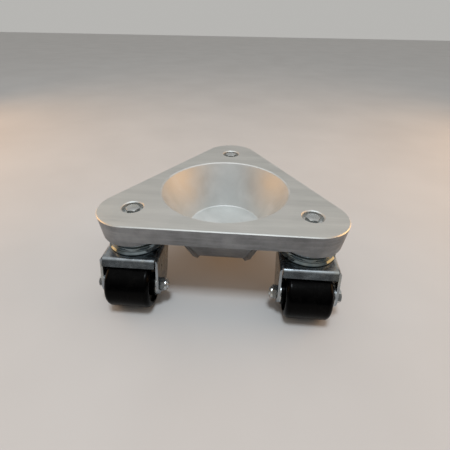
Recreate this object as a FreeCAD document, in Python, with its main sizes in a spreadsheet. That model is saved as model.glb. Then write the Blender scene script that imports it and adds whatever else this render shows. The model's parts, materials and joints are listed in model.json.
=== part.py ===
import FreeCAD, Part
import math
import os

import Sketcher

# A three-caster furniture dolly.  A cast aluminium deck, a rounded triangle in plan, carries a
# conical cup that takes the furniture's leg or foot.  A swivel caster hangs under each corner.
#
# Frame: millimetres, +Z up, origin at the centre of the cup's flat floor.  The deck's flat front
# edge faces -Y and its rear corner points along +Y.

SIZES = {
    # Deck casting
    "bolt_circle_radius": 106.0,
    "corner_radius": 36.0,
    "deck_depth": 20.0,
    "deck_draft_inset": 2.2,
    "boss_depth": 27.5,
    "edge_chamfer": 1.0,
    "boss_edge_radius": 2.5,
    # Cup in the deck
    "cup_depth": 51.0,
    "cup_rim_radius": 72.8,
    "cup_floor_radius": 44.3,
    "cup_bottom_thickness": 10.1,
    "cup_foot_apothem": 51.5,
    "rib_thickness": 7.0,
    "rib_foot_height": 2.2,
    "rib_foot_radius": 59.8,
    "cup_floor_fillet": 2.0,
    "swing_relief_low_radius": 59.0,
    "swing_relief_high_radius": 45.5,
    "swing_relief_height": 25.0,
    # Mounting bolts, one through each corner into the caster's hollow kingpin
    "counterbore_radius": 11.0,
    "counterbore_depth": 7.3,
    "mount_hole_radius": 4.5,
    "mount_bolt_radius": 4.0,
    "mount_bolt_flats": 13.0,
    "mount_head_height": 5.3,
    "mount_washer_radius": 8.0,
    "mount_washer_thickness": 1.6,
    "mount_nut_height": 8.0,
    "mount_bolt_tip": 2.0,
    # Swivel bearing
    "race_neck_radius": 26.0,
    "race_neck_height": 5.6,
    "race_radius": 27.5,
    "race_ledge_radius": 0.8,
    "race_rim_radius": 29.8,
    "race_rim_thickness": 0.9,
    "race_flare_height": 3.2,
    "race_flare_radius": 2.0,
    "race_height": 12.7,
    "race_solid_height": 7.3,
    "race_lip_thickness": 2.2,
    "king_tube_radius": 8.5,
    "king_tube_bore": 4.6,
    "king_flange_radius": 11.5,
    "king_flange_thickness": 2.0,
    "lower_race_radius": 18.5,
    "lower_race_thickness": 3.5,
    "upper_ball_radius": 3.175,
    "upper_path_radius": 20.0,
    "lower_ball_radius": 2.38,
    "lower_path_radius": 14.0,
    "upper_ball_sink": 1.0,
    "lower_ball_sink": 0.7,
    "race_clearance": 0.25,
    "seat_clearance": 0.05,
    # Yoke, bent from one sheet
    "sheet": 2.5,
    "yoke_gap": 0.8,
    "yoke_half_width": 30.2,
    "yoke_bend_radius": 5.0,
    "yoke_hole_radius": 10.5,
    "leg_rear": 14.0,
    "leg_front": 34.5,
    "leg_heel": 9.4,
    "leg_heel_radius": 17.0,
    "leg_toe": 46.5,
    "leg_toe_radius": 10.8,
    "tail_radius": 22.0,
    "lip_half_width": 26.9,
    "lip_bend_start": 29.5,
    "lip_bend_radius": 4.5,
    "lip_reach": 39.2,
    "lip_drop": 7.6,
    "leg_hole_radius": 1.5,
    "leg_hole_forward": 22.8,
    "leg_hole_below": 16.1,
    # Wheel and axle
    "axle_offset": 32.0,
    "axle_below_deck": 75.5,
    "wheel_radius": 25.4,
    "wheel_half_width": 23.0,
    "wheel_edge_radius": 5.0,
    "hub_radius": 12.5,
    "hub_half_width": 26.5,
    "rim_inner_radius": 19.0,
    "side_recess": 2.5,
    "axle_radius": 4.0,
    "axle_hole_radius": 4.1,
    "axle_flats": 13.0,
    "axle_head_height": 5.3,
    "axle_nut_height": 6.8,
    "axle_tip": 1.5,
    "sleeve_radius": 6.0,
    "bushing_bore": 6.05,
    "bushing_radius": 8.5,
    "thrust_washer_radius": 11.0,
    "thrust_washer_thickness": 1.0,
    "washer_gap": 0.05,
}

UPPER_BALLS = 18
LOWER_BALLS = 16
CORNERS = 3
RIBS = 6

# Name, direction of its corner in degrees from +X, and the side of the axle nut along X
CASTERS = [
    ("front_left", 210, 1),
    ("front_right", 330, -1),
    ("rear", 90, 1),
]

document = FreeCAD.newDocument("furniture_dolly")
sheet = document.addObject("Spreadsheet::Sheet", "Sizes")
for row, (alias, number) in enumerate(SIZES.items(), start=1):
    sheet.set("A%d" % row, alias)
    sheet.set("B%d" % row, str(number))
    sheet.setAlias("B%d" % row, alias)
document.recompute()


class Size:
    """A number together with the spreadsheet expression that gives it."""

    def __init__(self, value, text):
        self.value = value
        self.text = text

    def __add__(self, other):
        other = as_size(other)
        return Size(self.value + other.value, "(%s + %s)" % (self.text, other.text))

    def __sub__(self, other):
        other = as_size(other)
        return Size(self.value - other.value, "(%s - %s)" % (self.text, other.text))

    def __mul__(self, other):
        other = as_size(other)
        return Size(self.value * other.value, "%s * %s" % (self.text, other.text))

    def __truediv__(self, other):
        other = as_size(other)
        return Size(self.value / other.value, "%s / %s" % (self.text, other.text))

    def __neg__(self):
        return Size(-self.value, "(-1 * %s)" % self.text)


def as_size(number):
    if isinstance(number, Size):
        return number
    return Size(float(number), repr(float(number)))


class Sheet:
    """Gives each spreadsheet cell by its alias, as a Size."""

    def __getattr__(self, alias):
        return Size(float(getattr(sheet, alias)), "Sizes.%s" % alias)


d = Sheet()
ZERO = as_size(0.0)

# Heights in the frame
DECK_TOP = d.cup_depth
DECK_BOTTOM = DECK_TOP - d.deck_depth
BOSS_BOTTOM = DECK_TOP - d.boss_depth
CUP_BOTTOM = -d.cup_bottom_thickness
RACE_BOTTOM = BOSS_BOTTOM - d.race_height
RACE_FACE = BOSS_BOTTOM - d.race_solid_height
YOKE_TOP = RACE_BOTTOM - d.yoke_gap
YOKE_UNDERSIDE = YOKE_TOP - d.sheet
AXLE_HEIGHT = DECK_TOP - d.axle_below_deck
UPPER_BALL_HEIGHT = YOKE_TOP - d.upper_ball_sink + d.upper_ball_radius
LOWER_BALL_HEIGHT = YOKE_UNDERSIDE + d.lower_ball_sink - d.lower_ball_radius
LOWER_RACE_TOP = LOWER_BALL_HEIGHT - d.lower_ball_radius + d.lower_ball_sink
LOWER_RACE_BOTTOM = LOWER_RACE_TOP - d.lower_race_thickness
KING_BOTTOM = LOWER_RACE_BOTTOM - d.king_flange_thickness
CUP_SLOPE = (d.cup_rim_radius - d.cup_floor_radius) / d.cup_depth

# How far the waste cut off a blank reaches past it
WASTE = as_size(5.0)

# Shares of a lock nut's height taken by its hexagon, and of its flats taken by its collar
NUT_HEXAGON_SHARE = 0.72
NUT_COLLAR_SHARE = 0.94

# Half the angle between two corners of a hexagon, and the cone angle that trims them
HEXAGON_HALF = math.radians(30)
TRIM_ANGLE = math.radians(30)


def square_root(size):
    return Size(math.sqrt(size.value), "sqrt(%s)" % size.text)


def polar(radius, degrees):
    angle = math.radians(degrees)
    x = Size(radius.value * math.cos(angle), "%s * cos(%r deg)" % (radius.text, degrees))
    y = Size(radius.value * math.sin(angle), "%s * sin(%r deg)" % (radius.text, degrees))
    return x, y


# ---------------------------------------------------------------- building blocks

def new_body(label, position=(ZERO, ZERO, ZERO), turn=0.0):
    """A body whose placement is bound to the sheet.  turn is in degrees about Z."""
    body = document.addObject("PartDesign::Body", label)
    body.Label = label
    body.Placement = FreeCAD.Placement(
        FreeCAD.Vector(*[size.value for size in position]),
        FreeCAD.Rotation(FreeCAD.Vector(0, 0, 1), turn),
    )
    for name, size in zip("xyz", position):
        body.setExpression("Placement.Base.%s" % name, size.text)
    return body


def origin_feature(body, role):
    for feature in body.Origin.OriginFeatures:
        if feature.Role == role:
            return feature
    raise ValueError(role)


def attach(feature, body, plane, offset):
    """Attach a feature to one of the body's planes, offset along the plane's own X, Y and normal."""
    feature.AttachmentSupport = [(origin_feature(body, plane), "")]
    feature.MapMode = "FlatFace"
    feature.AttachmentOffset = FreeCAD.Placement(
        FreeCAD.Vector(*[size.value for size in offset]), FreeCAD.Rotation()
    )
    for name, size in zip("xyz", offset):
        if size.value != 0.0:
            feature.setExpression("AttachmentOffset.Base.%s" % name, size.text)


def bind(feature, **sizes):
    for name, size in sizes.items():
        size = as_size(size)
        setattr(feature, name, size.value)
        feature.setExpression(name, size.text)


def pin_point(sketch, geometry, vertex, x, y):
    """Hold a sketch point at (x, y), on the axes where a coordinate is zero."""
    for kind, axis, size in (("DistanceX", -2, x), ("DistanceY", -1, y)):
        if size.value == 0.0:
            sketch.addConstraint(Sketcher.Constraint("PointOnObject", geometry, vertex, axis))
            continue
        constraint = Sketcher.Constraint(kind, -1, 1, geometry, vertex, size.value)
        index = sketch.addConstraint(constraint)
        sketch.setExpression("Constraints[%d]" % index, size.text)


def corner_arc(before, corner, after, radius):
    """Tangent points, centre and turn of the arc that rounds a corner of an outline."""
    to_before = (before - corner).normalize()
    to_after = (after - corner).normalize()
    half = to_before.getAngle(to_after) / 2
    reach = radius / math.tan(half)
    bisector = (to_before + to_after).normalize()
    centre = corner + bisector * (radius / math.sin(half))
    turns_left = (corner - before).cross(after - corner).z > 0
    return corner + to_before * reach, corner + to_after * reach, centre, turns_left


def outline(sketch, corners):
    """Draw a closed outline.  Each corner is (x, y) or (x, y, radius of its rounding)."""
    points = [FreeCAD.Vector(corner[0].value, corner[1].value, 0) for corner in corners]
    count = len(corners)
    arcs = {}
    for i, corner in enumerate(corners):
        if len(corner) == 3:
            arcs[i] = corner_arc(points[i - 1], points[i], points[(i + 1) % count], corner[2].value)
    lines = []
    for i in range(count):
        following = (i + 1) % count
        begin = arcs[i][1] if i in arcs else points[i]
        end = arcs[following][0] if following in arcs else points[following]
        lines.append(sketch.addGeometry(Part.LineSegment(begin, end), False))
    for i, corner in enumerate(corners):
        incoming = lines[i - 1]
        outgoing = lines[i]
        if i not in arcs:
            sketch.addConstraint(Sketcher.Constraint("Coincident", incoming, 2, outgoing, 1))
            pin_point(sketch, outgoing, 1, corner[0], corner[1])
            continue
        arrive, leave, centre, turns_left = arcs[i]
        first, last = (arrive, leave) if turns_left else (leave, arrive)
        circle = Part.Circle(centre, FreeCAD.Vector(0, 0, 1), corner[2].value)
        angles = [math.atan2(point.y - centre.y, point.x - centre.x) for point in (first, last)]
        arc = sketch.addGeometry(Part.ArcOfCircle(circle, angles[0], angles[1]), False)
        arrive_end, leave_end = (1, 2) if turns_left else (2, 1)
        sketch.addConstraint(Sketcher.Constraint("Tangent", incoming, 2, arc, arrive_end))
        sketch.addConstraint(Sketcher.Constraint("Tangent", outgoing, 1, arc, leave_end))
        index = sketch.addConstraint(Sketcher.Constraint("Radius", arc, corner[2].value))
        sketch.setExpression("Constraints[%d]" % index, corner[2].text)
        point = sketch.addGeometry(Part.Point(points[i]), True)
        sketch.addConstraint(Sketcher.Constraint("PointOnObject", point, 1, incoming))
        sketch.addConstraint(Sketcher.Constraint("PointOnObject", point, 1, outgoing))
        pin_point(sketch, point, 1, corner[0], corner[1])


def sketch_outline(body, name, plane, corners, offset=(ZERO, ZERO, ZERO)):
    sketch = body.newObject("Sketcher::SketchObject", name)
    attach(sketch, body, plane, offset)
    outline(sketch, corners)
    return sketch


def sketch_circle(body, name, plane, radius, offset=(ZERO, ZERO, ZERO), centre=(ZERO, ZERO)):
    sketch = body.newObject("Sketcher::SketchObject", name)
    attach(sketch, body, plane, offset)
    middle = FreeCAD.Vector(centre[0].value, centre[1].value, 0)
    circle = Part.Circle(middle, FreeCAD.Vector(0, 0, 1), radius.value)
    geometry = sketch.addGeometry(circle, False)
    pin_point(sketch, geometry, 3, centre[0], centre[1])
    index = sketch.addConstraint(Sketcher.Constraint("Radius", geometry, radius.value))
    sketch.setExpression("Constraints[%d]" % index, radius.text)
    return sketch


def feature_volume(body):
    document.recompute()
    return body.Shape.Volume


def extrude(body, kind, sketch, length, reverse=False, both_ways=False):
    """Pad or Pocket a sketch, and check that it changes the body's volume the right way."""
    before = feature_volume(body) if kind == "Pocket" else 0.0
    feature = body.newObject("PartDesign::" + kind, sketch.Name + kind)
    feature.Profile = sketch
    feature.Reversed = reverse
    if both_ways:
        feature.Midplane = True
    bind(feature, Length=length)
    after = feature_volume(body)
    if kind == "Pocket" and after >= before:
        raise RuntimeError("%s cuts nothing" % feature.Name)
    return feature


def turned(body, kind, sketch, axis="V_Axis"):
    """Revolution or Groove of a sketch about one of its own axes."""
    before = feature_volume(body) if kind == "Groove" else 0.0
    feature = body.newObject("PartDesign::" + kind, sketch.Name + kind)
    feature.Profile = sketch
    feature.ReferenceAxis = (sketch, [axis])
    feature.Angle = 360.0
    after = feature_volume(body)
    if kind == "Groove" and after >= before:
        raise RuntimeError("%s cuts nothing" % feature.Name)
    return feature


def primitive(body, kind, name, offset, **sizes):
    """A PartDesign primitive standing on the body's XY plane."""
    feature = body.newObject("PartDesign::" + kind, name)
    attach(feature, body, "XY_Plane", offset)
    bind(feature, **sizes)
    document.recompute()
    return feature


def polar_pattern(body, name, originals, count):
    feature = body.newObject("PartDesign::PolarPattern", name)
    feature.Originals = originals
    feature.Axis = (origin_feature(body, "Z_Axis"), [""])
    feature.Angle = 360.0
    feature.Occurrences = count
    body.Tip = feature
    document.recompute()
    return feature


def loft(body, name, lower, upper):
    feature = body.newObject("PartDesign::AdditiveLoft", name)
    feature.Profile = lower
    feature.Sections = [upper]
    feature.Ruled = True
    document.recompute()
    return feature


def edges_where(body, test):
    """Names of the edges of the body's latest shape that pass a test."""
    edges = body.Tip.Shape.Edges
    return ["Edge%d" % (i + 1) for i, edge in enumerate(edges) if test(edge)]


def dress(body, kind, name, test, **sizes):
    """A Fillet or Chamfer on the edges of the latest feature that pass the test."""
    document.recompute()
    base = body.Tip
    names = edges_where(body, test)
    if not names:
        raise RuntimeError("%s finds no edges" % name)
    feature = body.newObject("PartDesign::" + kind, name)
    feature.Base = (base, names)
    bind(feature, **sizes)
    document.recompute()
    return feature


def lies_at(height):
    """Test for an edge that lies flat at a height."""
    def test(edge):
        box = edge.BoundBox
        return abs(box.ZMin - height.value) < 1e-4 and abs(box.ZMax - height.value) < 1e-4
    return test


def hexagon(flats):
    """Corners of a regular hexagon of the given size across flats, with flats facing +Y and -Y."""
    radius = flats / (2 * math.cos(HEXAGON_HALF))
    return [polar(radius, 60 * i) for i in range(6)]


# ---------------------------------------------------------------- deck casting

def rounded_triangle(corner_radius):
    """Outline whose corner arcs are centred on the bolt circle."""
    reach = d.bolt_circle_radius + corner_radius * 2
    return [polar(reach, degrees) + (corner_radius,) for degrees in (90, 210, 330)]


def deck_casting():
    body = new_body("deck_casting")
    low_radius = d.corner_radius - d.deck_draft_inset
    lower = sketch_outline(body, "DeckLow", "XY_Plane", rounded_triangle(low_radius),
                           (ZERO, ZERO, DECK_BOTTOM))
    upper = sketch_outline(body, "DeckHigh", "XY_Plane", rounded_triangle(d.corner_radius),
                           (ZERO, ZERO, DECK_TOP))
    loft(body, "Deck", lower, upper)

    # Corner bosses carry on the deck's drafted corners down to the casters.
    boss_radius = d.corner_radius - d.deck_draft_inset * d.boss_depth / d.deck_depth
    boss = primitive(body, "AdditiveCone", "Boss", (ZERO, d.bolt_circle_radius, BOSS_BOTTOM),
                     Radius1=boss_radius, Radius2=low_radius, Height=DECK_BOTTOM - BOSS_BOTTOM)
    polar_pattern(body, "Bosses", [boss], CORNERS)

    # The cup is six-sided outside, with a cast rib down each of its corners.
    top_apothem = d.cup_foot_apothem + CUP_SLOPE * (DECK_BOTTOM - CUP_BOTTOM)
    foot = sketch_outline(body, "CupFoot", "XY_Plane", hexagon(d.cup_foot_apothem * 2),
                          (ZERO, ZERO, CUP_BOTTOM))
    shoulder = sketch_outline(body, "CupShoulder", "XY_Plane", hexagon(top_apothem * 2),
                              (ZERO, ZERO, DECK_BOTTOM))
    loft(body, "CupBody", foot, shoulder)
    rib_bottom = CUP_BOTTOM - d.rib_foot_height
    rib_top = d.rib_foot_radius + CUP_SLOPE * (DECK_BOTTOM - rib_bottom)
    rib_inner = d.cup_floor_radius
    rib_sketch = sketch_outline(body, "Rib", "XZ_Plane", [
        (rib_inner, rib_bottom), (d.rib_foot_radius, rib_bottom), (rib_top, DECK_BOTTOM),
        (rib_inner, DECK_BOTTOM)])
    rib = extrude(body, "Pad", rib_sketch, d.rib_thickness, both_ways=True)
    polar_pattern(body, "Ribs", [rib], RIBS)

    # A cone cut about each corner's axis leaves the casters room to swing past the cup.
    swing_relief = primitive(
        body, "SubtractiveCone", "SwingRelief", (ZERO, d.bolt_circle_radius, rib_bottom),
        Radius1=d.swing_relief_low_radius, Radius2=d.swing_relief_high_radius,
        Height=d.swing_relief_height)
    polar_pattern(body, "SwingReliefs", [swing_relief], CORNERS)

    primitive(body, "SubtractiveCone", "Cup", (ZERO, ZERO, ZERO), Radius1=d.cup_floor_radius,
              Radius2=d.cup_rim_radius, Height=d.cup_depth)
    counterbore = primitive(
        body, "SubtractiveCylinder", "Counterbore",
        (ZERO, d.bolt_circle_radius, DECK_TOP - d.counterbore_depth),
        Radius=d.counterbore_radius, Height=d.counterbore_depth)
    bolt_hole = primitive(
        body, "SubtractiveCylinder", "BoltHole", (ZERO, d.bolt_circle_radius, BOSS_BOTTOM),
        Radius=d.mount_hole_radius, Height=d.boss_depth)
    polar_pattern(body, "BoltHoles", [counterbore, bolt_hole], CORNERS)

    dress(body, "Chamfer", "TopEdges", lies_at(DECK_TOP), Size=d.edge_chamfer)
    dress(body, "Fillet", "BossEdges", is_boss_rim, Radius=d.boss_edge_radius)
    dress(body, "Fillet", "CupFloorEdge", lies_at(ZERO), Radius=d.cup_floor_fillet)
    return body


def is_boss_rim(edge):
    """The outer edge of a corner boss's flat underside."""
    curve = edge.Curve
    return (lies_at(BOSS_BOTTOM)(edge) and isinstance(curve, Part.Circle)
            and curve.Radius > d.mount_hole_radius.value * 2)


# ---------------------------------------------------------------- fasteners and rings

def ring(label, position, inner, outer, bottom, top):
    """A plain turned ring about the local Z axis."""
    body = new_body(label, position)
    profile = sketch_outline(body, label + "_section", "XZ_Plane", [
        (inner, bottom), (outer, bottom), (outer, top), (inner, top)])
    turned(body, "Revolution", profile)
    return body


def chamfer_hexagon(body, plane, flats, face, inward):
    """Trim the corners of a hexagon at its end face with a cone.  inward is +1 or -1."""
    outside = flats / (2 * math.cos(HEXAGON_HALF)) + WASTE
    reach = face + (outside - flats / 2) * math.tan(TRIM_ANGLE) * inward
    name = "%s_trim_%s" % (body.Name, "low" if inward > 0 else "high")
    if plane == "XY_Plane":
        trim = sketch_outline(body, name, "XZ_Plane", [
            (flats / 2, face), (outside, face), (outside, reach)])
        turned(body, "Groove", trim, "V_Axis")
    else:
        trim = sketch_outline(body, name, "XZ_Plane", [
            (face, flats / 2), (face, outside), (reach, outside)])
        turned(body, "Groove", trim, "H_Axis")


def hex_bolt(label, position, turn, plane, flats, radius, head_seat, head_face, tip):
    """Hex head from head_seat to head_face and a round shank to tip, along the plane's normal."""
    body = new_body(label, position, turn)
    outward = 1 if head_face.value > head_seat.value else -1
    head = sketch_outline(body, label + "_head", plane, hexagon(flats), (ZERO, ZERO, head_seat))
    extrude(body, "Pad", head, (head_face - head_seat) * outward, reverse=outward < 0)
    shank = sketch_circle(body, label + "_shank", plane, radius, (ZERO, ZERO, head_seat))
    extrude(body, "Pad", shank, (head_seat - tip) * outward, reverse=outward > 0)
    chamfer_hexagon(body, plane, flats, head_face, -outward)
    return body


def lock_nut(label, position, turn, plane, flats, bore, seat, crown):
    """Hex nut from seat to crown with a round collar, along the plane's normal."""
    body = new_body(label, position, turn)
    outward = 1 if crown.value > seat.value else -1
    height = (crown - seat) * outward
    hex_height = height * NUT_HEXAGON_SHARE
    hex_face = seat + hex_height * outward
    nut = sketch_outline(body, label + "_hex", plane, hexagon(flats), (ZERO, ZERO, seat))
    extrude(body, "Pad", nut, hex_height, reverse=outward < 0)
    chamfer_hexagon(body, plane, flats, hex_face, -outward)
    chamfer_hexagon(body, plane, flats, seat, outward)
    collar_radius = flats / 2 * NUT_COLLAR_SHARE
    collar = sketch_circle(body, label + "_collar", plane, collar_radius, (ZERO, ZERO, hex_face))
    extrude(body, "Pad", collar, height - hex_height, reverse=outward < 0)
    hole = sketch_circle(body, label + "_bore", plane, bore, (ZERO, ZERO, seat))
    extrude(body, "Pocket", hole, height, reverse=outward > 0)
    return body


def mounting_hardware(name, position):
    head_seat = DECK_TOP - d.counterbore_depth + d.mount_washer_thickness
    nut_crown = KING_BOTTOM - d.mount_nut_height
    bolt = hex_bolt(name + "_mounting_bolt", position, 0.0, "XY_Plane", d.mount_bolt_flats,
                    d.mount_bolt_radius, head_seat, head_seat + d.mount_head_height,
                    nut_crown - d.mount_bolt_tip)
    washer = ring(name + "_mounting_washer", position, d.mount_hole_radius, d.mount_washer_radius,
                  DECK_TOP - d.counterbore_depth, head_seat)
    nut = lock_nut(name + "_mounting_nut", position, 0.0, "XY_Plane", d.mount_bolt_flats,
                   d.mount_bolt_radius, KING_BOTTOM, nut_crown)
    return [bolt, washer, nut]


# ---------------------------------------------------------------- swivel bearing

def top_race(name, position):
    """Turned disc bolted under the boss: a neck, a ledge and a flared rim round the upper balls."""
    body = new_body(name + "_top_race", position)
    ledge = BOSS_BOTTOM - d.race_neck_height
    rim_top = RACE_BOTTOM + d.race_rim_thickness
    flare_top = RACE_BOTTOM + d.race_flare_height
    inside = d.race_radius - d.race_lip_thickness
    profile = sketch_outline(body, "TopRaceSection", "XZ_Plane", [
        (d.king_tube_radius, BOSS_BOTTOM), (d.king_tube_radius, RACE_FACE),
        (inside, RACE_FACE), (inside, rim_top),
        (inside + d.race_rim_thickness, RACE_BOTTOM), (d.race_rim_radius, RACE_BOTTOM),
        (d.race_rim_radius, rim_top), (d.race_radius, flare_top, d.race_flare_radius),
        (d.race_radius, ledge, d.race_ledge_radius), (d.race_neck_radius, ledge),
        (d.race_neck_radius, BOSS_BOTTOM)])
    turned(body, "Revolution", profile)
    primitive(body, "SubtractiveTorus", "UpperPath", (ZERO, ZERO, UPPER_BALL_HEIGHT),
              Radius1=d.upper_path_radius, Radius2=d.upper_ball_radius + d.race_clearance)
    return body


def lower_race(name, position):
    """Turned ring held up by the kingpin, under the yoke's inner ball path."""
    body = ring(name + "_lower_race", position, d.king_tube_radius, d.lower_race_radius,
                LOWER_RACE_BOTTOM, LOWER_RACE_TOP)
    primitive(body, "SubtractiveTorus", "LowerPath", (ZERO, ZERO, LOWER_BALL_HEIGHT),
              Radius1=d.lower_path_radius, Radius2=d.lower_ball_radius + d.race_clearance)
    return body


def king_tube(name, position):
    """Hollow kingpin: a tube from the boss down to a flange under the lower race."""
    body = new_body(name + "_king_tube", position)
    profile = sketch_outline(body, "KingTubeSection", "XZ_Plane", [
        (d.king_tube_bore, KING_BOTTOM), (d.king_flange_radius, KING_BOTTOM),
        (d.king_flange_radius, LOWER_RACE_BOTTOM), (d.king_tube_radius, LOWER_RACE_BOTTOM),
        (d.king_tube_radius, BOSS_BOTTOM), (d.king_tube_bore, BOSS_BOTTOM)])
    turned(body, "Revolution", profile)
    return body


def ball_ring(label, position, ball_radius, path_radius, height, count):
    """Loose balls evenly spaced round a circle about the swivel axis."""
    body = new_body(label, position)
    body.AllowCompound = True
    ball = primitive(body, "AdditiveSphere", "Ball", (path_radius, ZERO, height), Radius=ball_radius)
    polar_pattern(body, "Balls", [ball], count)
    return body


# ---------------------------------------------------------------- yoke

def yoke(name, position):
    """Sheet-steel fork: flat top, two wide legs and a front lip.  It trails along -Y."""
    body = new_body(name + "_yoke", position)
    half = d.yoke_half_width
    bend = d.yoke_bend_radius
    flat = half - bend
    leg_bottom = AXLE_HEIGHT - d.leg_toe_radius
    below = leg_bottom - WASTE
    behind = d.leg_rear + WASTE
    across = half * 2 + WASTE * 2

    # Legs and their bends, as one channel along Y
    inner = half - d.sheet
    inner_bend = bend - d.sheet
    channel = sketch_outline(body, "Channel", "XZ_Plane", [
        (half, leg_bottom), (half, YOKE_TOP, bend), (-half, YOKE_TOP, bend), (-half, leg_bottom),
        (-inner, leg_bottom), (-inner, YOKE_UNDERSIDE, inner_bend),
        (inner, YOKE_UNDERSIDE, inner_bend), (inner, leg_bottom)],
        (ZERO, ZERO, -d.leg_rear))
    extrude(body, "Pad", channel, d.leg_rear + d.leg_toe)

    # Rear edge of the legs, sloping forward to a rounded heel
    rear_cut = sketch_outline(body, "LegRear", "YZ_Plane", [
        (behind, YOKE_TOP - bend), (d.leg_rear, YOKE_TOP - bend),
        (-d.leg_heel, leg_bottom, d.leg_heel_radius), (-d.axle_offset, leg_bottom),
        (-d.axle_offset, below), (behind, below)])
    extrude(body, "Pocket", rear_cut, across, both_ways=True)

    # Front edge of the legs, leaning forward to a toe rounded about the axle
    ahead = d.leg_toe + WASTE
    above = YOKE_TOP + WASTE
    front_cut = sketch_outline(body, "LegFront", "YZ_Plane", [
        (-d.leg_front, above), (-d.leg_front, YOKE_TOP - bend),
        (-d.leg_toe, leg_bottom, d.leg_toe_radius), (-d.axle_offset, leg_bottom),
        (-d.axle_offset, below), (-ahead, below), (-ahead, above)])
    extrude(body, "Pocket", front_cut, across, both_ways=True)

    # Notch across the front of the flat top, then the lip bent down in it
    notch = sketch_outline(body, "LipNotch", "XY_Plane", [
        (inner, -d.lip_bend_start), (inner, -ahead), (-inner, -ahead), (-inner, -d.lip_bend_start)],
        (ZERO, ZERO, YOKE_TOP - bend))
    extrude(body, "Pocket", notch, bend, reverse=True)
    lip = sketch_outline(body, "Lip", "YZ_Plane", lip_section())
    extrude(body, "Pad", lip, d.lip_half_width * 2, both_ways=True)

    # Round rear end of the flat top
    tail = sketch_outline(body, "Tail", "XY_Plane", [
        (flat, ZERO), (flat, half, d.tail_radius), (-flat, half, d.tail_radius), (-flat, ZERO)],
        (ZERO, ZERO, YOKE_UNDERSIDE))
    extrude(body, "Pad", tail, d.sheet)

    # Kingpin hole and the two ball paths pressed into the sheet
    primitive(body, "SubtractiveCylinder", "KingHole", (ZERO, ZERO, YOKE_UNDERSIDE),
              Radius=d.yoke_hole_radius, Height=d.sheet)
    primitive(body, "SubtractiveTorus", "UpperPath", (ZERO, ZERO, UPPER_BALL_HEIGHT),
              Radius1=d.upper_path_radius, Radius2=d.upper_ball_radius + d.seat_clearance)
    primitive(body, "SubtractiveTorus", "LowerPath", (ZERO, ZERO, LOWER_BALL_HEIGHT),
              Radius1=d.lower_path_radius, Radius2=d.lower_ball_radius + d.seat_clearance)

    # Axle holes, and a small hole in each leg
    leg_hole_height = YOKE_TOP - d.leg_hole_below
    for hole, radius, forward, height in (
            ("AxleHole", d.axle_hole_radius, d.axle_offset, AXLE_HEIGHT),
            ("LegHole", d.leg_hole_radius, d.leg_hole_forward, leg_hole_height)):
        circle = sketch_circle(body, hole, "YZ_Plane", radius, centre=(-forward, height))
        extrude(body, "Pocket", circle, across, both_ways=True)
    return body


def lip_section():
    """Section of the front lip along Y: a strip bent down and forward, square at its end."""
    run = d.lip_reach - d.leg_front
    length = square_root(run * run + d.lip_drop * d.lip_drop)
    inner_corner = d.leg_front - d.sheet * d.lip_drop / (length + run)
    inner_reach = d.lip_reach - d.sheet * d.lip_drop / length
    inner_drop = d.lip_drop + d.sheet * run / length
    return [
        (-d.lip_bend_start, YOKE_TOP), (-d.leg_front, YOKE_TOP, d.lip_bend_radius),
        (-d.lip_reach, YOKE_TOP - d.lip_drop), (-inner_reach, YOKE_TOP - inner_drop),
        (-inner_corner, YOKE_UNDERSIDE, d.lip_bend_radius - d.sheet),
        (-d.lip_bend_start, YOKE_UNDERSIDE)]


# ---------------------------------------------------------------- wheel and axle

def axle_ring(label, position, inner, outer, half_width):
    """A plain turned ring about the axle, centred on the yoke's middle plane."""
    body = new_body(label, position)
    section = sketch_outline(body, label + "_section", "XZ_Plane", [
        (-half_width, inner), (half_width, inner), (half_width, outer), (-half_width, outer)])
    turned(body, "Revolution", section, "H_Axis")
    return body


def thrust_washers(name, position):
    """A thin washer at each end of the hub, against the yoke's legs."""
    body = new_body(name + "_thrust_washers", position)
    body.AllowCompound = True
    gap = d.washer_gap
    outside = d.yoke_half_width - d.sheet - gap
    inside = outside - d.thrust_washer_thickness
    bore = d.sleeve_radius + d.seat_clearance
    section = sketch_outline(body, "WasherSection", "XZ_Plane", [
        (inside, bore), (outside, bore), (outside, d.thrust_washer_radius),
        (inside, d.thrust_washer_radius)])
    washer = turned(body, "Revolution", section, "H_Axis")
    pair = body.newObject("PartDesign::Mirrored", "WasherPair")
    pair.Originals = [washer]
    pair.MirrorPlane = (origin_feature(body, "YZ_Plane"), [""])
    body.Tip = pair
    document.recompute()
    return body


def wheel(name, position):
    """Wide solid wheel with rounded tread edges, a sunk side face and a raised hub."""
    body = new_body(name + "_wheel", position)
    tread = d.wheel_half_width
    web = tread - d.side_recess
    right = [
        (d.hub_half_width, d.bushing_radius), (d.hub_half_width, d.hub_radius),
        (web, d.hub_radius), (web, d.rim_inner_radius), (tread, d.rim_inner_radius),
        (tread, d.wheel_radius, d.wheel_edge_radius)]
    left = [(-corner[0],) + corner[1:] for corner in reversed(right)]
    section = sketch_outline(body, "WheelSection", "XZ_Plane", right + left)
    turned(body, "Revolution", section, "H_Axis")
    return body


def axle_hardware(name, position, nut_side):
    """Axle bolt through the legs, its lock nut on the side that nut_side gives, and its sleeve."""
    turn = 0.0 if nut_side > 0 else 180.0
    outside = d.yoke_half_width
    nut_crown = outside + d.axle_nut_height
    bolt = hex_bolt(name + "_axle_bolt", position, turn, "YZ_Plane", d.axle_flats, d.axle_radius,
                    -outside, -outside - d.axle_head_height, nut_crown + d.axle_tip)
    nut = lock_nut(name + "_axle_nut", position, turn, "YZ_Plane", d.axle_flats, d.axle_radius,
                   outside, nut_crown)
    sleeve = axle_ring(name + "_axle_sleeve", position, d.axle_hole_radius, d.sleeve_radius,
                       outside - d.sheet)
    return [bolt, nut, sleeve]


# ---------------------------------------------------------------- the whole dolly

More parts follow.
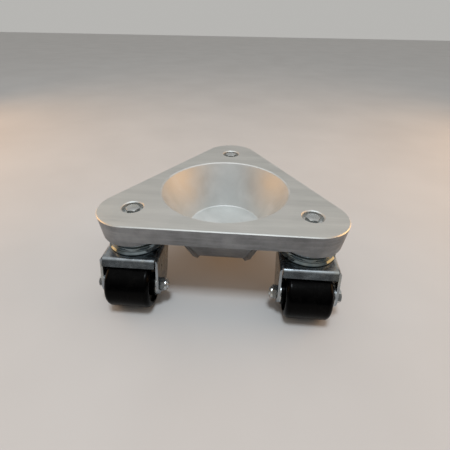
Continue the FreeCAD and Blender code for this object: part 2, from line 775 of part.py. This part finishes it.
def caster(name, corner, nut_side):
    x, y = polar(d.bolt_circle_radius, corner)
    swivel_axis = (x, y, ZERO)
    axle = (x, y - d.axle_offset, AXLE_HEIGHT)
    parts = mounting_hardware(name, swivel_axis)
    parts += [
        top_race(name, swivel_axis),
        ball_ring(name + "_upper_balls", swivel_axis, d.upper_ball_radius, d.upper_path_radius,
                  UPPER_BALL_HEIGHT, UPPER_BALLS),
        yoke(name, swivel_axis),
        ball_ring(name + "_lower_balls", swivel_axis, d.lower_ball_radius, d.lower_path_radius,
                  LOWER_BALL_HEIGHT, LOWER_BALLS),
        lower_race(name, swivel_axis),
        king_tube(name, swivel_axis),
    ]
    parts += axle_hardware(name, axle, nut_side)
    parts += [
        thrust_washers(name, axle),
        axle_ring(name + "_hub_bushing", axle, d.bushing_bore, d.bushing_radius, d.hub_half_width),
        wheel(name, axle),
    ]
    return parts


def check(parts):
    document.recompute()
    for item in document.Objects:
        if "Invalid" in item.State or "Error" in item.State:
            raise RuntimeError("%s failed to recompute" % item.Name)
    for item in parts:
        if item.Shape.isNull() or not item.Shape.isValid():
            raise RuntimeError("%s has no valid shape" % item.Label)


def write(parts):
    os.makedirs("parts", exist_ok=True)
    for item in parts:
        item.Shape.exportStep(os.path.join("parts", item.Label + ".step"))
        print("%-30s %2d solid(s) %10.1f mm3" % (item.Label, len(item.Shape.Solids), item.Shape.Volume))


dolly = [deck_casting()]
for caster_name, corner_direction, axle_nut_side in CASTERS:
    dolly += caster(caster_name, corner_direction, axle_nut_side)
check(dolly)
write(dolly)
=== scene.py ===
import json
import math

import bmesh
import bpy
from mathutils import Matrix, Vector


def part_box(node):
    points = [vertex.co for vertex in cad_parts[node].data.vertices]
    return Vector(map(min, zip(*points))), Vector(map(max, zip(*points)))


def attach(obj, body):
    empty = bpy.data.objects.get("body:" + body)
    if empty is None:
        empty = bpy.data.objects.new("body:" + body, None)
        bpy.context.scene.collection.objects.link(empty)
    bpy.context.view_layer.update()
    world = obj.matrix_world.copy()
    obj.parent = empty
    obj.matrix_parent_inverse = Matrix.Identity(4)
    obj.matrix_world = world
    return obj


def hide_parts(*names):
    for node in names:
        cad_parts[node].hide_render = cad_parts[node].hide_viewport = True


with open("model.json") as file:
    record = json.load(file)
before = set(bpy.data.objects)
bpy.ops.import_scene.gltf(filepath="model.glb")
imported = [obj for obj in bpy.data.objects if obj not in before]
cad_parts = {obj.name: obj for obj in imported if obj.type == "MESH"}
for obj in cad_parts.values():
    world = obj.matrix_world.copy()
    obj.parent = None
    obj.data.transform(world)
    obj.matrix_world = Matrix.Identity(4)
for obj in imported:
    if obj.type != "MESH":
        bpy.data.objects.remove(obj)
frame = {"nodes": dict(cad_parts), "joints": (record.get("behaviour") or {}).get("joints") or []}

for default_name in ("Cube", "Light", "Camera"):
    if default_name in bpy.data.objects:
        bpy.data.objects.remove(bpy.data.objects[default_name])
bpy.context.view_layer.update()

MM = 0.001
NODES = frame["nodes"]
JOINTS = {joint["name"]: joint for joint in frame["joints"]}
CASTERS = [name[:-len("_swivel")] for name in JOINTS if name.endswith("_swivel")]


def placed(name, data):
    """A new object in the scene."""
    made = bpy.data.objects.new(name, data)
    bpy.context.scene.collection.objects.link(made)
    return made


# ---------------------------------------------------------------- shader helpers

class NodeTree:
    """Adds nodes and links to a node tree by short calls."""

    def __init__(self, tree):
        self.tree = tree

    def set(self, node, socket, value):
        target = node.inputs[socket]
        if isinstance(value, bpy.types.NodeSocket):
            self.tree.links.new(value, target)
        elif isinstance(value, (tuple, list)) and target.type == "RGBA" and len(value) == 3:
            target.default_value = (*value, 1.0)
        else:
            target.default_value = value

    def node(self, kind, inputs=(), **settings):
        node = self.tree.nodes.new("ShaderNode" + kind)
        for name, value in settings.items():
            setattr(node, name, value)
        for socket, value in dict(inputs).items():
            self.set(node, socket, value)
        return node

    def coordinates(self, kind="Object"):
        return self.node("TexCoord").outputs[kind]

    def scaled(self, vector, scale):
        return self.node("Mapping", {"Vector": vector, "Scale": scale}).outputs["Vector"]

    def noise(self, vector, scale, detail, roughness, distortion=0.0):
        return self.node("TexNoise", {
            "Vector": vector, "Scale": scale, "Detail": detail, "Roughness": roughness,
            "Distortion": distortion}).outputs["Fac"]

    def math(self, operation, first, second=0.0):
        return self.node("Math", {0: first, 1: second}, operation=operation).outputs[0]

    def spread(self, value, low, high, to_low, to_high):
        """Value from low..high mapped to to_low..to_high, held at both ends."""
        return self.node("MapRange", {
            "Value": value, "From Min": low, "From Max": high,
            "To Min": to_low, "To Max": to_high}).outputs["Result"]

    def ramp(self, value, stops):
        node = self.node("ValToRGB", {"Fac": value})
        ramp = node.color_ramp
        while len(ramp.elements) < len(stops):
            ramp.elements.new(1.0)
        for element, (position, colour) in zip(ramp.elements, stops):
            element.position = position
            element.color = (*colour, 1.0)
        return node.outputs["Color"]

    def mix(self, factor, first, second):
        """A blend of two colours.  A Mix node's colour sockets are its inputs 6 and 7, output 2."""
        return self.node("Mix", {0: factor, 6: first, 7: second}, data_type="RGBA").outputs[2]

    def bump(self, height, strength, distance, below=None):
        inputs = {"Height": height, "Strength": strength, "Distance": distance}
        if below is not None:
            inputs["Normal"] = below
        return self.node("Bump", inputs).outputs["Normal"]


class Shader(NodeTree):
    """A material under construction."""

    def __init__(self, name, **principled):
        self.material = bpy.data.materials.new(name)
        self.material.use_nodes = True
        super().__init__(self.material.node_tree)
        self.bsdf = self.tree.nodes["Principled BSDF"]
        self.finish(**principled)

    def finish(self, **inputs):
        for socket, value in inputs.items():
            self.set(self.bsdf, socket.replace("_", " "), value)
        return self.material


# ---------------------------------------------------------------- materials

def cast_aluminium():
    """Sand-cast skin: grey, dull and finely pitted, with soft streaks and darker patches."""
    s = Shader("cast_aluminium_skin", Metallic=1.0)
    place = s.coordinates()
    patches = s.noise(place, 38.0, 5.0, 0.6)
    grain = s.noise(place, 900.0, 3.0, 0.6)
    lumps = s.noise(place, 210.0, 3.0, 0.5)
    streaks = s.noise(s.scaled(place, (30.0, 30.0, 420.0)), 1.0, 3.0, 0.6)
    colour = s.ramp(patches, [(0.30, (0.22, 0.226, 0.235)), (0.70, (0.34, 0.348, 0.36))])
    colour = s.mix(s.spread(streaks, 0.45, 0.75, 0.0, 0.45), colour, (0.42, 0.43, 0.445))
    colour = s.mix(s.spread(grain, 0.62, 0.75, 0.0, 0.5), colour, (0.12, 0.12, 0.12))
    rough = s.spread(patches, 0.3, 0.7, 0.62, 0.46)
    skin = s.bump(lumps, 0.35, 0.6 * MM)
    skin = s.bump(grain, 0.45, 0.2 * MM, skin)
    return s.finish(Base_Color=colour, Roughness=rough, Normal=skin)


def machined_aluminium(name, roughness, shine=1.0):
    """Milled face: fine straight tool marks along X over soft cloudy handling marks.

    shine multiplies the colour of the metal's bands; above 1 the lighter colour is a painted
    highlight."""
    s = Shader(name, Metallic=1.0)
    place = s.coordinates()
    marks = s.noise(s.scaled(place, (14.0, 900.0, 900.0)), 1.0, 3.0, 0.6)
    bands = s.noise(s.scaled(place, (9.0, 70.0, 70.0)), 1.0, 3.0, 0.55)
    clouds = s.noise(place, 26.0, 4.0, 0.6, 0.6)
    dull = tuple(shine * part for part in (0.57, 0.58, 0.565))
    bright = tuple(shine * part for part in (0.69, 0.70, 0.68))
    colour = s.ramp(bands, [(0.30, dull), (0.70, bright)])
    colour = s.mix(s.spread(clouds, 0.35, 0.7, 0.0, 0.5), colour, (0.54, 0.545, 0.54))
    colour = s.mix(s.spread(marks, 0.55, 0.8, 0.0, 0.4), colour, (0.80, 0.80, 0.79))
    rough = s.spread(clouds, 0.3, 0.7, roughness - 0.07, roughness + 0.07)
    return s.finish(Base_Color=colour, Roughness=rough, Normal=s.bump(marks, 0.22, 0.08 * MM))


def turned_aluminium(name, centre, pitch, roughness):
    """Lathe-turned face: fine rings about a vertical axis, which smear highlights across them."""
    s = Shader(name, Metallic=1.0, Anisotropic=0.25)
    place = s.coordinates()
    offset = s.node("VectorMath", {0: place, 1: centre}, operation="SUBTRACT").outputs[0]
    flat = s.node("VectorMath", {0: offset, 1: (1.0, 1.0, 0.0)}, operation="MULTIPLY").outputs[0]
    around = s.node("VectorMath", {0: (0.0, 0.0, 1.0), 1: flat},
                    operation="CROSS_PRODUCT").outputs[0]
    tangent = s.node("VectorMath", {0: around}, operation="NORMALIZE").outputs[0]
    radius = s.node("VectorMath", {0: flat}, operation="LENGTH").outputs["Value"]
    phase = s.math("MULTIPLY", radius, 2 * math.pi / pitch)
    rings = s.math("SINE", phase)
    wobble = s.noise(s.scaled(offset, (60.0, 60.0, 500.0)), 1.0, 3.0, 0.6)
    height = s.math("ADD", s.math("MULTIPLY", rings, 0.35), wobble)
    clouds = s.noise(place, 40.0, 4.0, 0.6, 0.4)
    colour = s.ramp(clouds, [(0.30, (0.57, 0.58, 0.57)), (0.72, (0.68, 0.685, 0.675))])
    rough = s.spread(clouds, 0.3, 0.7, roughness - 0.05, roughness + 0.07)
    return s.finish(Base_Color=colour, Roughness=rough, Tangent=tangent,
                    Normal=s.bump(height, 0.25, 0.06 * MM))


def zinc(name, low, high, roughness, streak=None, axis=None):
    """Bright zinc plate: cool grey with faint straw and blue clouds and fine rubbing marks."""
    s = Shader(name, Metallic=1.0)
    if axis is not None:
        s.finish(Anisotropic=0.5)
        s.finish(Tangent=s.node("Tangent", direction_type="RADIAL", axis=axis).outputs[0])
    place = s.coordinates()
    clouds = s.noise(place, 85.0, 4.0, 0.6, 0.5)
    tint = s.noise(place, 47.0, 2.0, 0.5, 0.3)
    rubs = s.noise(s.scaled(place, streak or (500.0, 500.0, 500.0)), 1.0, 4.0, 0.65)
    specks = s.noise(place, 1500.0, 2.0, 0.5)
    colour = s.ramp(clouds, [(0.32, low), (0.70, high)])
    colour = s.mix(s.spread(tint, 0.52, 0.72, 0.0, 0.35), colour, (0.70, 0.66, 0.52))
    colour = s.mix(s.spread(tint, 0.46, 0.30, 0.0, 0.35), colour, (0.55, 0.64, 0.72))
    colour = s.mix(s.spread(specks, 0.66, 0.78, 0.0, 0.45), colour, (0.33, 0.34, 0.35))
    rough = s.math("ADD", s.spread(clouds, 0.3, 0.7, roughness - 0.05, roughness + 0.07),
                   s.spread(rubs, 0.5, 0.8, 0.0, 0.10))
    normal = s.bump(rubs, 0.18, 0.05 * MM)
    return s.finish(Base_Color=colour, Roughness=rough, Normal=normal)


def bearing_steel():
    """Polished steel under a thin smear of grease."""
    s = Shader("bearing_steel_greased", Metallic=1.0)
    place = s.coordinates()
    smears = s.noise(place, 260.0, 3.0, 0.6, 0.8)
    fine = s.noise(place, 2400.0, 2.0, 0.5)
    colour = s.ramp(smears, [(0.40, (0.62, 0.63, 0.65)), (0.70, (0.40, 0.34, 0.24))])
    return s.finish(Base_Color=colour, Roughness=s.spread(smears, 0.4, 0.7, 0.12, 0.32),
                    Normal=s.bump(fine, 0.08, 0.03 * MM))


def sintered_bronze():
    """Pressed bronze: brown, dull and full of fine pores."""
    s = Shader("sintered_bronze_porous", Metallic=1.0)
    place = s.coordinates()
    pores = s.noise(place, 2600.0, 2.0, 0.6)
    clouds = s.noise(place, 160.0, 3.0, 0.6)
    colour = s.ramp(clouds, [(0.30, (0.34, 0.23, 0.12)), (0.70, (0.52, 0.38, 0.22))])
    colour = s.mix(s.spread(pores, 0.56, 0.66, 0.0, 0.8), colour, (0.06, 0.04, 0.02))
    return s.finish(Base_Color=colour, Roughness=s.spread(clouds, 0.3, 0.7, 0.38, 0.55),
                    Normal=s.bump(pores, 0.4, 0.08 * MM))


def black_wheel():
    """Hard glossy black tread with faint rolling scuffs round it and a little dust."""
    s = Shader("black_wheel_gloss", Specular_IOR_Level=0.05)
    place = s.coordinates()
    scuffs = s.noise(s.scaled(place, (700.0, 26.0, 26.0)), 1.0, 4.0, 0.65)
    dust = s.noise(place, 120.0, 5.0, 0.7, 0.6)
    fine = s.noise(place, 2000.0, 2.0, 0.5)
    colour = s.ramp(dust, [(0.50, (0.0004, 0.0004, 0.0005)), (0.82, (0.003, 0.0028, 0.0026))])
    rough = s.math("ADD", s.spread(dust, 0.35, 0.75, 0.16, 0.30),
                   s.spread(scuffs, 0.55, 0.8, 0.0, 0.14))
    normal = s.bump(scuffs, 0.10, 0.05 * MM)
    normal = s.bump(fine, 0.05, 0.03 * MM, normal)
    return s.finish(Base_Color=colour, Roughness=rough, Normal=normal)


def nylon():
    """Moulded nylon insert: off-white, slightly waxy and faintly mottled."""
    s = Shader("nylon_insert", Roughness=0.45, Subsurface_Weight=0.1, Subsurface_Scale=0.4 * MM)
    place = s.coordinates()
    mottle = s.noise(place, 700.0, 3.0, 0.6)
    colour = s.ramp(mottle, [(0.35, (0.55, 0.54, 0.49)), (0.70, (0.68, 0.67, 0.62))])
    return s.finish(Base_Color=colour, Normal=s.bump(mottle, 0.2, 0.05 * MM))


CAST = cast_aluminium()
MILLED = machined_aluminium("machined_aluminium_top", 0.53)
# The top chamfer's copy is 1.35 times lighter than the milled top: a painted highlight for the
# bright line the chamfer catches along its front.
EDGE = machined_aluminium("machined_aluminium_edge", 0.45, 1.35)
BOWL = turned_aluminium("turned_aluminium_cup", (0.0, 0.0, 0.0), 0.8 * MM, 0.62)
# The sheet's zinc is darker than the fasteners': partly its own grey and partly painted shade for
# the dark reflection on the yoke's faces.
YOKE = zinc("zinc_sheet", (0.27, 0.30, 0.33), (0.40, 0.44, 0.47), 0.22, (90.0, 900.0, 90.0))
# The ring's zinc is set very dark: painted shade for the shadow and dark reflections on the race
# ring.
RACE = zinc("zinc_turned_ring", (0.13, 0.165, 0.175), (0.22, 0.26, 0.275), 0.07, axis="Z")
FASTENER = zinc("zinc_fastener_plate", (0.52, 0.54, 0.55), (0.68, 0.70, 0.70), 0.26)
# The washer's zinc is lighter than the fasteners': partly its own dull grey and partly painted light
# for the pale floor of the counterbore.
WASHER = zinc("zinc_washer_dull", (0.60, 0.62, 0.62), (0.76, 0.78, 0.77), 0.55)
STEEL = bearing_steel()
BRONZE = sintered_bronze()
WHEEL = black_wheel()
NYLON = nylon()

BY_SLOT = {
    "cast_aluminium": CAST, "zinc_fastener": FASTENER, "zinc_race": RACE, "zinc_yoke": YOKE,
    "bearing_steel": STEEL, "sintered_bronze": BRONZE, "black_wheel": WHEEL,
}
for node in NODES.values():
    for material_slot in node.material_slots:
        surface = BY_SLOT[material_slot.material.name.split(".")[0]]
        material_slot.link = "OBJECT"
        material_slot.material = surface
for caster_name in CASTERS:
    NODES[caster_name + "_mounting_washer"].material_slots[0].material = WASHER


# ---------------------------------------------------------------- deck casting

# Order of the deck's materials.  The bores follow, one for each caster.
CAST_SKIN, MILLED_TOP, TURNED_CUP, TOP_CHAMFER, FIRST_BORE = range(5)
BORE_REACH = 13.0 * MM
CUP_REACH = 74.0 * MM
BORE_LAP = 0.2 * MM
LEVEL_LAP = 0.1 * MM
CHAMFER_DEPTH = 1.1 * MM
BORE_RINGS = 0.5 * MM
BORE_ROUGHNESS = 0.58
LEVEL = 0.99


def finished_deck():
    """The casting's own shape, with its cast, milled and turned faces told apart."""
    source = NODES["deck_casting"]
    mesh = source.data.copy()
    mesh.name = "deck_casting_finished"
    deck = placed("deck_casting_finished", mesh)
    mesh.materials.clear()
    bores = [Vector(JOINTS[name + "_swivel"]["pos_m"]) for name in CASTERS]
    surfaces = [CAST, MILLED, BOWL, EDGE]
    for i, bore in enumerate(bores):
        name = "turned_aluminium_bore_%d" % (i + 1)
        surfaces.append(turned_aluminium(name, tuple(bore), BORE_RINGS, BORE_ROUGHNESS))
    for surface in surfaces:
        mesh.materials.append(surface)
    top = max(vertex.co.z for vertex in mesh.vertices)
    bore_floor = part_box(CASTERS[0] + "_mounting_washer")[0].z - BORE_LAP
    for face in mesh.polygons:
        centre = face.center
        outward = face.normal
        radial = Vector((centre.x, centre.y, 0.0))
        near = [i for i, bore in enumerate(bores) if (centre - bore).xy.length < BORE_REACH]
        in_cup = radial.length < CUP_REACH and centre.z > -LEVEL_LAP
        if centre.z > top - LEVEL_LAP and outward.z > LEVEL:
            face.material_index = MILLED_TOP
        elif near and centre.z > bore_floor:
            face.material_index = FIRST_BORE + near[0]
        elif in_cup and (outward.z > LEVEL or outward.dot(radial) < 0):
            face.material_index = TURNED_CUP
        elif centre.z > top - CHAMFER_DEPTH:
            face.material_index = TOP_CHAMFER
        else:
            face.material_index = CAST_SKIN
    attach(deck, "root")
    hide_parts("deck_casting")


finished_deck()


# ---------------------------------------------------------------- bolts and lock nuts

UP = Vector((0.0, 0.0, 1.0))
ALONG = Vector((0.0, 1.0, 0.0))
ACROSS = Vector((1.0, 0.0, 0.0))

# Every bolt is M8.  The thread's depth is a share of its pitch, CROWN and CONE are shares of the
# flats where a chamfer ends and begins, and the COLLAR shares are of a nut's flats and height.
FLATS = 13.0 * MM
SHANK_RADIUS = 4.0 * MM
HEAD_HEIGHT = 5.3 * MM
PITCH = 1.25 * MM
THREAD_DEPTH = 0.61 * PITCH
THREADED_LENGTH = 24.0 * MM
ROWS_PER_PITCH = 8
SEGMENTS = 96
SOFT_EDGE = 0.25 * MM
TRIM = math.tan(math.radians(30))
SHARP = math.radians(32)
CROWN = 0.93
CONE = 0.95
TIP_DEPTH = 1.4 * THREAD_DEPTH
CREST_SLOPE = 1.3
CREST_FLAT = 0.15
COLLAR_WIDTH = 0.94
COLLAR_START = 0.72
COLLAR_ROLL = 0.7 * MM


def plain(radius, height):
    """A round row of a fastener's surface."""
    return lambda angle: (radius, height)


def hexagonal(flats, height, lean=0.0):
    """A six-sided row.  lean pulls its corners along the axis, as a chamfer cone cuts them."""
    def row(angle):
        from_flat = angle % (math.pi / 3) - math.pi / 6
        radius = flats / 2 / math.cos(from_flat)
        return radius, height + lean * (radius - flats / 2 * CONE)
    return row


def threaded(height):
    """A row of a screw thread with flattened crests and roots."""
    def row(angle):
        turn = (height / PITCH - angle / (2 * math.pi)) % 1.0
        groove = min(max(abs(2 * turn - 1) * CREST_SLOPE - CREST_FLAT, 0.0), 1.0)
        return SHANK_RADIUS - THREAD_DEPTH * groove, height
    return row


def turned_surface(name, rows, axes, origin, closed, materials, second_from=None):
    """A surface built row by row about a local axis, either capped at both ends or a closed ring.

    The faces that start at the row second_from take the second material."""
    across, along, axis = axes
    points = []
    for row in rows:
        for step in range(SEGMENTS):
            angle = 2 * math.pi * step / SEGMENTS
            radius, height = row(angle)
            points.append(origin + across * (radius * math.cos(angle))
                          + along * (radius * math.sin(angle)) + axis * height)
    faces = []
    count = len(rows)
    for i in range(count if closed else count - 1):
        low, high = i * SEGMENTS, (i + 1) % count * SEGMENTS
        for step in range(SEGMENTS):
            following = (step + 1) % SEGMENTS
            faces.append((low + step, low + following, high + following, high + step))
    if not closed:
        for i, order in ((0, -1), (count - 1, 1)):
            faces.append(tuple(range(i * SEGMENTS, (i + 1) * SEGMENTS))[::order])
    mesh = bpy.data.meshes.new(name)
    mesh.from_pydata(points, [], faces)
    for material in materials:
        mesh.materials.append(material)
    if second_from is not None:
        for face in mesh.polygons[second_from * SEGMENTS:(second_from + 1) * SEGMENTS]:
            face.material_index = 1
    mesh.shade_smooth()
    mesh.set_sharp_from_angle(angle=SHARP)
    return placed(name, mesh)


def stand_in_for(piece, node, body):
    """Shows a fastener's piece in place of its CAD node."""
    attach(piece, body)
    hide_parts(node)


def bolt(node, body, axes, seat, length):
    """Hex bolt: chamfered head, round shank and a real thread down to a pointed tip."""
    rows = [plain(FLATS / 2 * CROWN, -HEAD_HEIGHT), hexagonal(FLATS, -HEAD_HEIGHT, TRIM),
            hexagonal(FLATS, -SOFT_EDGE), hexagonal(FLATS - SOFT_EDGE, 0.0),
            plain(SHANK_RADIUS + SOFT_EDGE, 0.0), plain(SHANK_RADIUS, SOFT_EDGE)]
    start = length - THREADED_LENGTH
    step = PITCH / ROWS_PER_PITCH
    count = int((THREADED_LENGTH - THREAD_DEPTH) / step)
    rows.append(plain(SHANK_RADIUS, start - step))
    rows += [threaded(start + step * i) for i in range(count)]
    rows.append(plain(SHANK_RADIUS - THREAD_DEPTH, length - THREAD_DEPTH / 2))
    rows.append(plain(SHANK_RADIUS - TIP_DEPTH, length))
    piece = turned_surface(node + "_threaded", rows, axes, seat, False, [FASTENER])
    stand_in_for(piece, node, body)


def lock_nut(node, body, axes, seat, height):
    """Hex lock nut: chamfered at both ends, with a rolled collar round its nylon insert."""
    hex_top = height * COLLAR_START
    collar = FLATS / 2 * COLLAR_WIDTH
    roll = COLLAR_ROLL
    insert = height - roll
    brow = height - roll * 0.3
    rows = [plain(SHANK_RADIUS, 0.0), plain(FLATS / 2 * CROWN, 0.0), hexagonal(FLATS, 0.0, TRIM),
            hexagonal(FLATS, hex_top, -TRIM), plain(FLATS / 2 * CONE, hex_top),
            plain(collar, hex_top), plain(collar, insert), plain(collar - roll * 0.3, brow),
            plain(collar - roll, height), plain(collar - roll * 1.7, brow),
            plain(collar - roll * 1.8, insert), plain(SHANK_RADIUS, insert)]
    piece = turned_surface(node + "_insert", rows, axes, seat, True, [FASTENER, NYLON],
                           second_from=len(rows) - 2)
    stand_in_for(piece, node, body)


def fasteners(name):
    """One caster's mounting bolt and nut, upright, and its axle bolt and nut, lying across."""
    corner = Vector(JOINTS[name + "_swivel"]["pos_m"])
    axle = Vector(JOINTS[name + "_wheel_spin"]["pos_m"])
    swivel = name + "_swivel"

    down = (ACROSS, -ALONG, -UP)
    low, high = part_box(name + "_mounting_bolt")
    seat = Vector((corner.x, corner.y, high.z - HEAD_HEIGHT))
    bolt(name + "_mounting_bolt", "root", down, seat, seat.z - low.z)
    low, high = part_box(name + "_mounting_nut")
    seat = Vector((corner.x, corner.y, high.z))
    lock_nut(name + "_mounting_nut", "root", down, seat, high.z - low.z)

    low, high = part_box(name + "_axle_nut")
    side = 1.0 if low.x > axle.x else -1.0
    outward = (ALONG, UP * side, ACROSS * side)
    inner = low.x if side > 0 else high.x
    lock_nut(name + "_axle_nut", swivel, outward, Vector((inner, axle.y, axle.z)), high.x - low.x)
    low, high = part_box(name + "_axle_bolt")
    head, tip = (low.x, high.x) if side > 0 else (high.x, low.x)
    seat = Vector((head + HEAD_HEIGHT * side, axle.y, axle.z))
    bolt(name + "_axle_bolt", swivel, outward, seat, abs(tip - seat.x))


for caster_name in CASTERS:
    fasteners(caster_name)


# ---------------------------------------------------------------- bearing balls

SEAM = 0.001 * MM


def polished_balls(node, body):
    """The node's own balls, without the empty faces that a sphere's triangles have at its poles."""
    mesh = NODES[node].data.copy()
    mesh.name = node + "_polished"
    work = bmesh.new()
    work.from_mesh(mesh)
    bmesh.ops.remove_doubles(work, verts=work.verts, dist=SEAM)
    bmesh.ops.dissolve_degenerate(work, edges=work.edges, dist=SEAM)
    work.to_mesh(mesh)
    work.free()
    mesh.materials.clear()
    mesh.materials.append(STEEL)
    mesh.shade_smooth()
    piece = placed(mesh.name, mesh)
    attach(piece, body)
    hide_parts(node)


for caster_name in CASTERS:
    for ring in ("_upper_balls", "_lower_balls"):
        polished_balls(caster_name + ring, caster_name + "_swivel")


# ---------------------------------------------------------------- floor, light and camera

def floor():
    """Pale paper under the dolly, wide enough to fill every view."""
    half = 6.0
    height = min(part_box(name + "_wheel")[0].z for name in CASTERS)
    mesh = bpy.data.meshes.new("studio_floor")
    corners = [(-half, -half, height), (half, -half, height), (half, half, height),
               (-half, half, height)]
    mesh.from_pydata(corners, [], [(0, 1, 2, 3)])
    paper = placed("studio_floor", mesh)
    s = Shader("studio_paper", Roughness=0.75)
    place = s.coordinates()
    fibres = s.noise(place, 900.0, 3.0, 0.6)
    clouds = s.noise(place, 6.0, 3.0, 0.5)
    colour = s.ramp(clouds, [(0.3, (0.53, 0.52, 0.515)), (0.7, (0.57, 0.56, 0.555))])
    mesh.materials.append(s.finish(Base_Color=colour, Normal=s.bump(fibres, 0.05, 0.1 * MM)))


def area_light(name, position, target, size, power, colour):
    """A soft rectangular lamp that points at target."""
    data = bpy.data.lights.new(name, "AREA")
    data.shape = "RECTANGLE"
    data.size, data.size_y = size
    data.energy = power
    data.color = colour
    lamp = placed(name, data)
    lamp.location = position
    toward = Vector(target) - Vector(position)
    lamp.rotation_euler = toward.to_track_quat("-Z", "Y").to_euler()


def lighting():
    """A cool lamp overhead, faint warm lamps low at both sides, and a room dark on the near side."""
    world = bpy.context.scene.world or bpy.data.worlds.new("studio")
    bpy.context.scene.world = world
    world.use_nodes = True
    room = NodeTree(world.node_tree)
    direction = room.node("SeparateXYZ", {"Vector": room.coordinates("Generated")}).outputs
    far_side = room.spread(direction["Y"], -0.30, 0.65, 0.12, 0.56)
    overhead = room.spread(direction["Z"], 0.38, 0.88, 0.12, 0.85)
    background = world.node_tree.nodes["Background"]
    room.set(background, "Color", (0.84, 0.83, 0.80))
    room.set(background, "Strength", room.math("MAXIMUM", far_side, overhead))
    aim = (0.0, 0.0, 0.02)
    area_light("key", (0.0, -0.41, 1.44), aim, (0.30, 0.30), 11.0, (0.84, 0.93, 1.0))
    area_light("warm_left", (-1.0, 0.20, 0.38), aim, (0.9, 0.5), 3.4, (1.0, 0.53, 0.19))
    area_light("warm_right", (1.0, 0.20, 0.38), aim, (0.9, 0.5), 4.4, (1.0, 0.53, 0.19))


def camera():
    """Low three-quarter view from in front of the flat edge, a little to the right of centre."""
    data = bpy.data.cameras.new("camera")
    data.sensor_width = 36.0
    data.lens = 24.15
    data.clip_start = 0.01
    view = placed("camera", data)
    view.location = (0.0217, -0.3117, 0.2122)
    down, yaw, roll = 34.375, 3.93, 0.943
    turn = Matrix.Rotation(math.radians(yaw), 3, "Z") \
        @ Matrix.Rotation(math.radians(90.0 - down), 3, "X") \
        @ Matrix.Rotation(math.radians(roll), 3, "Z")
    view.rotation_euler = turn.to_euler()
    bpy.context.scene.camera = view


floor()
lighting()
camera()
bpy.context.scene.view_settings.view_transform = "Standard"
